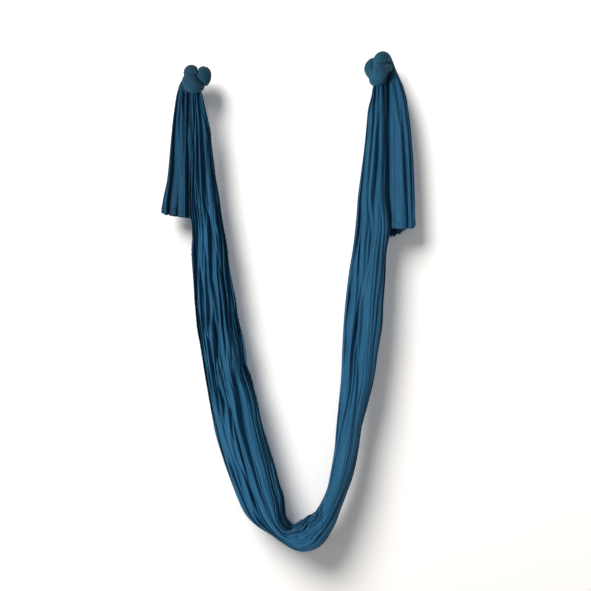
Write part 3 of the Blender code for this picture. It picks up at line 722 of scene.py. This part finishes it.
def makeHem(side, band, along):
    # the turned and sewn end: two layers, closed along the lower edge
    run = np.gradient(band, axis=1)
    out = np.cross(run, np.array((0.0, 0.0, 1.0)))
    out /= np.maximum(np.linalg.norm(out, axis=2), 1e-9)[:, :, None]
    thick = np.full(len(band), tailLook["hemOut"])
    thick[0], thick[-1] = tailLook["hemTop"], tailLook["hemEdge"]
    outer, inner = band + out * thick[:, None, None], band - out * thick[:, None, None]
    layers = np.concatenate([outer, inner[:, ::-1]], axis=1)
    return gridMesh(side + "_tail_hem_cloth", layers, clothWidth(layers), along, hemClothInPaintedShade[side])


def makeTail(side, solids, body, root):
    own = tailLook[side]
    folds = tailFolds(own["seed"])

    def creases(shares):
        yield from creaseLines(tailCreases[side], shares)
        yield from creaseLines(folds, shares)

    def ripple(shares, angles, length, radius):
        along = (shares * length)[:, None] + 0 * angles[None, :]
        across = np.radians(angles[None, :]) + 0 * along
        # the room side has its own creases, so fewer of these
        facing = fromRoomSide(angles[None, :])
        level = 0.25 + 0.75 * np.clip((facing - 60) / 25, 0, 1)
        crowded = np.clip(0.5 + 1.2 * softNoise(across * 3, along / 0.2, own["seed"] + 4), 0, 1)
        ridges = own["ridges"] * (1 - finePleats(across * 5, along / 0.5, own["seed"] + 6))
        ridges = ridges * np.clip((92 - facing) / 25, 0.2, 1)
        count, run, deep = tailLook["widePleats"]
        wide = deep * level * finePleats(across * count, along / run, own["seed"] + 2)
        count, run, deep = tailLook["narrowPleats"]
        narrow = deep * crowded * finePleats(across * count, along / run, own["seed"] + 3)
        return radius * (wide + ridges + narrow)

    look = dict(tailLook, creases=creases, ripple=ripple,
                ringShares=np.linspace(0, 1, tailLook["rings"]))
    fine = curveThrough(np.array(own["route"]) * 0.001, 3000)
    grid, along = gatheredRings(look, fine)
    hangHem(grid, along, side, fine[-1, 0], root[1])
    top = int(np.searchsorted(along, along[-1] - own["hem"]))
    cloth = grid[:top + 1]
    tail = gridMesh(side + "_tail_cloth", cloth, clothWidth(cloth), along[:top + 1],
                    tailClothInPaintedShade[side])
    hem = makeHem(side, grid[top:], along[top:])
    for piece, solid, slot in ((tail, solids[0], "tail_cloth"), (hem, solids[1], "hem_cloth")):
        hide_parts(solid)
    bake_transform(tail)
    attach(hem, body)
    print(side, "tail made:", len(tail.data.polygons), "faces")
    return tail, hem


leftTail, leftHem = makeTail("left", ("left_tail", "left_tail_hem"), "left_tail",
                             (-0.055, 0.028))
rightTail, rightHem = makeTail("right", ("right_tail", "right_tail_hem"), "right_tail",
                               (0.698, 0.028))


# ---- camera, light and surroundings ----

def makeCamera():
    data = bpy.data.cameras.new("photoCamera")
    data.sensor_width = 36
    data.lens = 36 / cameraSpot["span"]
    camera = bpy.data.objects.new("photoCamera", data)
    camera.location = cameraSpot["place"]
    camera.rotation_euler = (math.pi / 2, 0, math.radians(cameraSpot["yaw"]))
    bpy.context.scene.collection.objects.link(camera)
    bpy.context.scene.camera = camera


def softLight(name, place, aim, size, power, only, shadedBy):
    data = bpy.data.lights.new(name, "AREA")
    data.shape = "DISK"
    data.size = size
    data.energy = power
    lamp = bpy.data.objects.new(name, data)
    lamp.location = place
    direction = np.array(aim) - np.array(place)
    flat = math.hypot(direction[0], direction[1])
    lamp.rotation_euler = (math.atan2(flat, -direction[2]), 0,
                           math.atan2(-direction[0], direction[1]))
    bpy.context.scene.collection.objects.link(lamp)
    lamp.light_linking.receiver_collection = only
    lamp.light_linking.blocker_collection = shadedBy


def seenRay(tree):
    # 1 for what the camera sees, straight, mirrored or through something clear
    light = addNode(tree, "ShaderNodeLightPath")
    other = addNode(tree, "ShaderNodeMath", {"operation": "MAXIMUM"}, {
        0: light.outputs["Is Glossy Ray"], 1: light.outputs["Is Transmission Ray"]})
    seen = addNode(tree, "ShaderNodeMath", {"operation": "MAXIMUM"}, {
        0: light.outputs["Is Camera Ray"], 1: other.outputs["Value"]})
    return seen.outputs["Value"]


def paleWall(name, place, size, turned, bounce):
    # bounce is how much light it gives back to the cloth; the camera sees it white from the front
    # and not at all from behind
    bpy.ops.mesh.primitive_plane_add(size=1, location=place, rotation=(math.radians(turned), 0, 0))
    wall = bpy.context.object
    wall.name = wall.data.name = name
    wall.scale = (*size, 1)
    bpy.ops.object.transform_apply(location=True, rotation=True, scale=True)
    material = bpy.data.materials.new(name)
    material.use_nodes = True
    tree = material.node_tree
    tree.nodes.remove(tree.nodes["Principled BSDF"])
    side = addNode(tree, "ShaderNodeNewGeometry")
    paint = addNode(tree, "ShaderNodeMix", {"data_type": "RGBA"}, {"Factor": seenRay(tree)})
    paint.inputs["A"].default_value = (bounce, bounce, bounce, 1)
    paint.inputs["B"].default_value = roomLook["wallWhite"]
    face = addNode(tree, "ShaderNodeBsdfDiffuse", {}, {"Color": paint.outputs["Result"]})
    clear = addNode(tree, "ShaderNodeBsdfTransparent")
    both = addNode(tree, "ShaderNodeMixShader", {}, {
        0: side.outputs["Backfacing"], 1: face.outputs["BSDF"], 2: clear.outputs["BSDF"]})
    tree.links.new(both.outputs["Shader"], tree.nodes["Material Output"].inputs["Surface"])
    wall.data.materials.append(material)
    return wall


roomLook = {
    "wallWhite": (1.46, 1.42, 1.38, 1),   # a little warm, against the blue that the cloth gives off
    "wallBack": 0.108,                    # how far behind the hammock the wall is
    "floorDown": -2.4,
    "wallBounce": 0.7, "floorBounce": 0.2,
    "daylight": 0.16,                     # from all round
}
# place, what it points at, size in metres, power in watts and what it lights: the photo's plain
# shadow and the shading of its cloth come from two directions, so they have their own lights
lights = {
    "wallLight": ((-3.0, -7.0, 5.6), (0.3, 0.1, -0.75), 6.3, 930, "backdrop"),   # the shadow
    "clothLight": ((-2.3, -5.6, -1.4), (0.3, 0, -0.75), 1.9, 375, "cloth"),
    "fillLight": ((4.0, -7.0, -0.5), (0.3, 0, -0.75), 6.0, 52, "backdrop"),   # lifts the shadow
    "backLight": ((-0.7, 4.3, -0.8), (0.3, 0, -0.75), 1.6, 60, "cloth"),      # through the wall
}

makeCamera()
wall = paleWall("paleWall", (0.5, roomLook["wallBack"], 0.3), (9, 5.4), 90, roomLook["wallBounce"])
floor = paleWall("paleFloor", (0.5, -1, roomLook["floorDown"]), (9, 8), 0, roomLook["floorBounce"])
groups = {
    "cloth": (sling, leftKnot, rightKnot, leftTail, rightTail, leftHem, rightHem),
    "backdrop": (wall, floor),
}
lit = {}
for group, pieces in groups.items():
    lit[group] = bpy.data.collections.new(group)
    bpy.context.scene.collection.children.link(lit[group])
    for piece in pieces:
        lit[group].objects.link(piece)
for name, (place, aim, size, power, group) in lights.items():
    shadedBy = lit["cloth"] if name == "backLight" else None   # or the wall would stop it
    softLight(name, place, aim, size, power, lit[group], shadedBy)

world = bpy.data.worlds.new("paleRoom")
bpy.context.scene.world = world
world.use_nodes = True
sky = world.node_tree.nodes["Background"]
sky.inputs["Color"].default_value = (1, 1, 1, 1)
level = addNode(world.node_tree, "ShaderNodeMix", {"data_type": "FLOAT"},
                {"Factor": seenRay(world.node_tree)})
level.inputs["A"].default_value = roomLook["daylight"]
level.inputs["B"].default_value = 1.0
world.node_tree.links.new(level.outputs["Result"], sky.inputs["Strength"])
bpy.context.scene.view_settings.view_transform = "Standard"
print("camera, light and surroundings made")
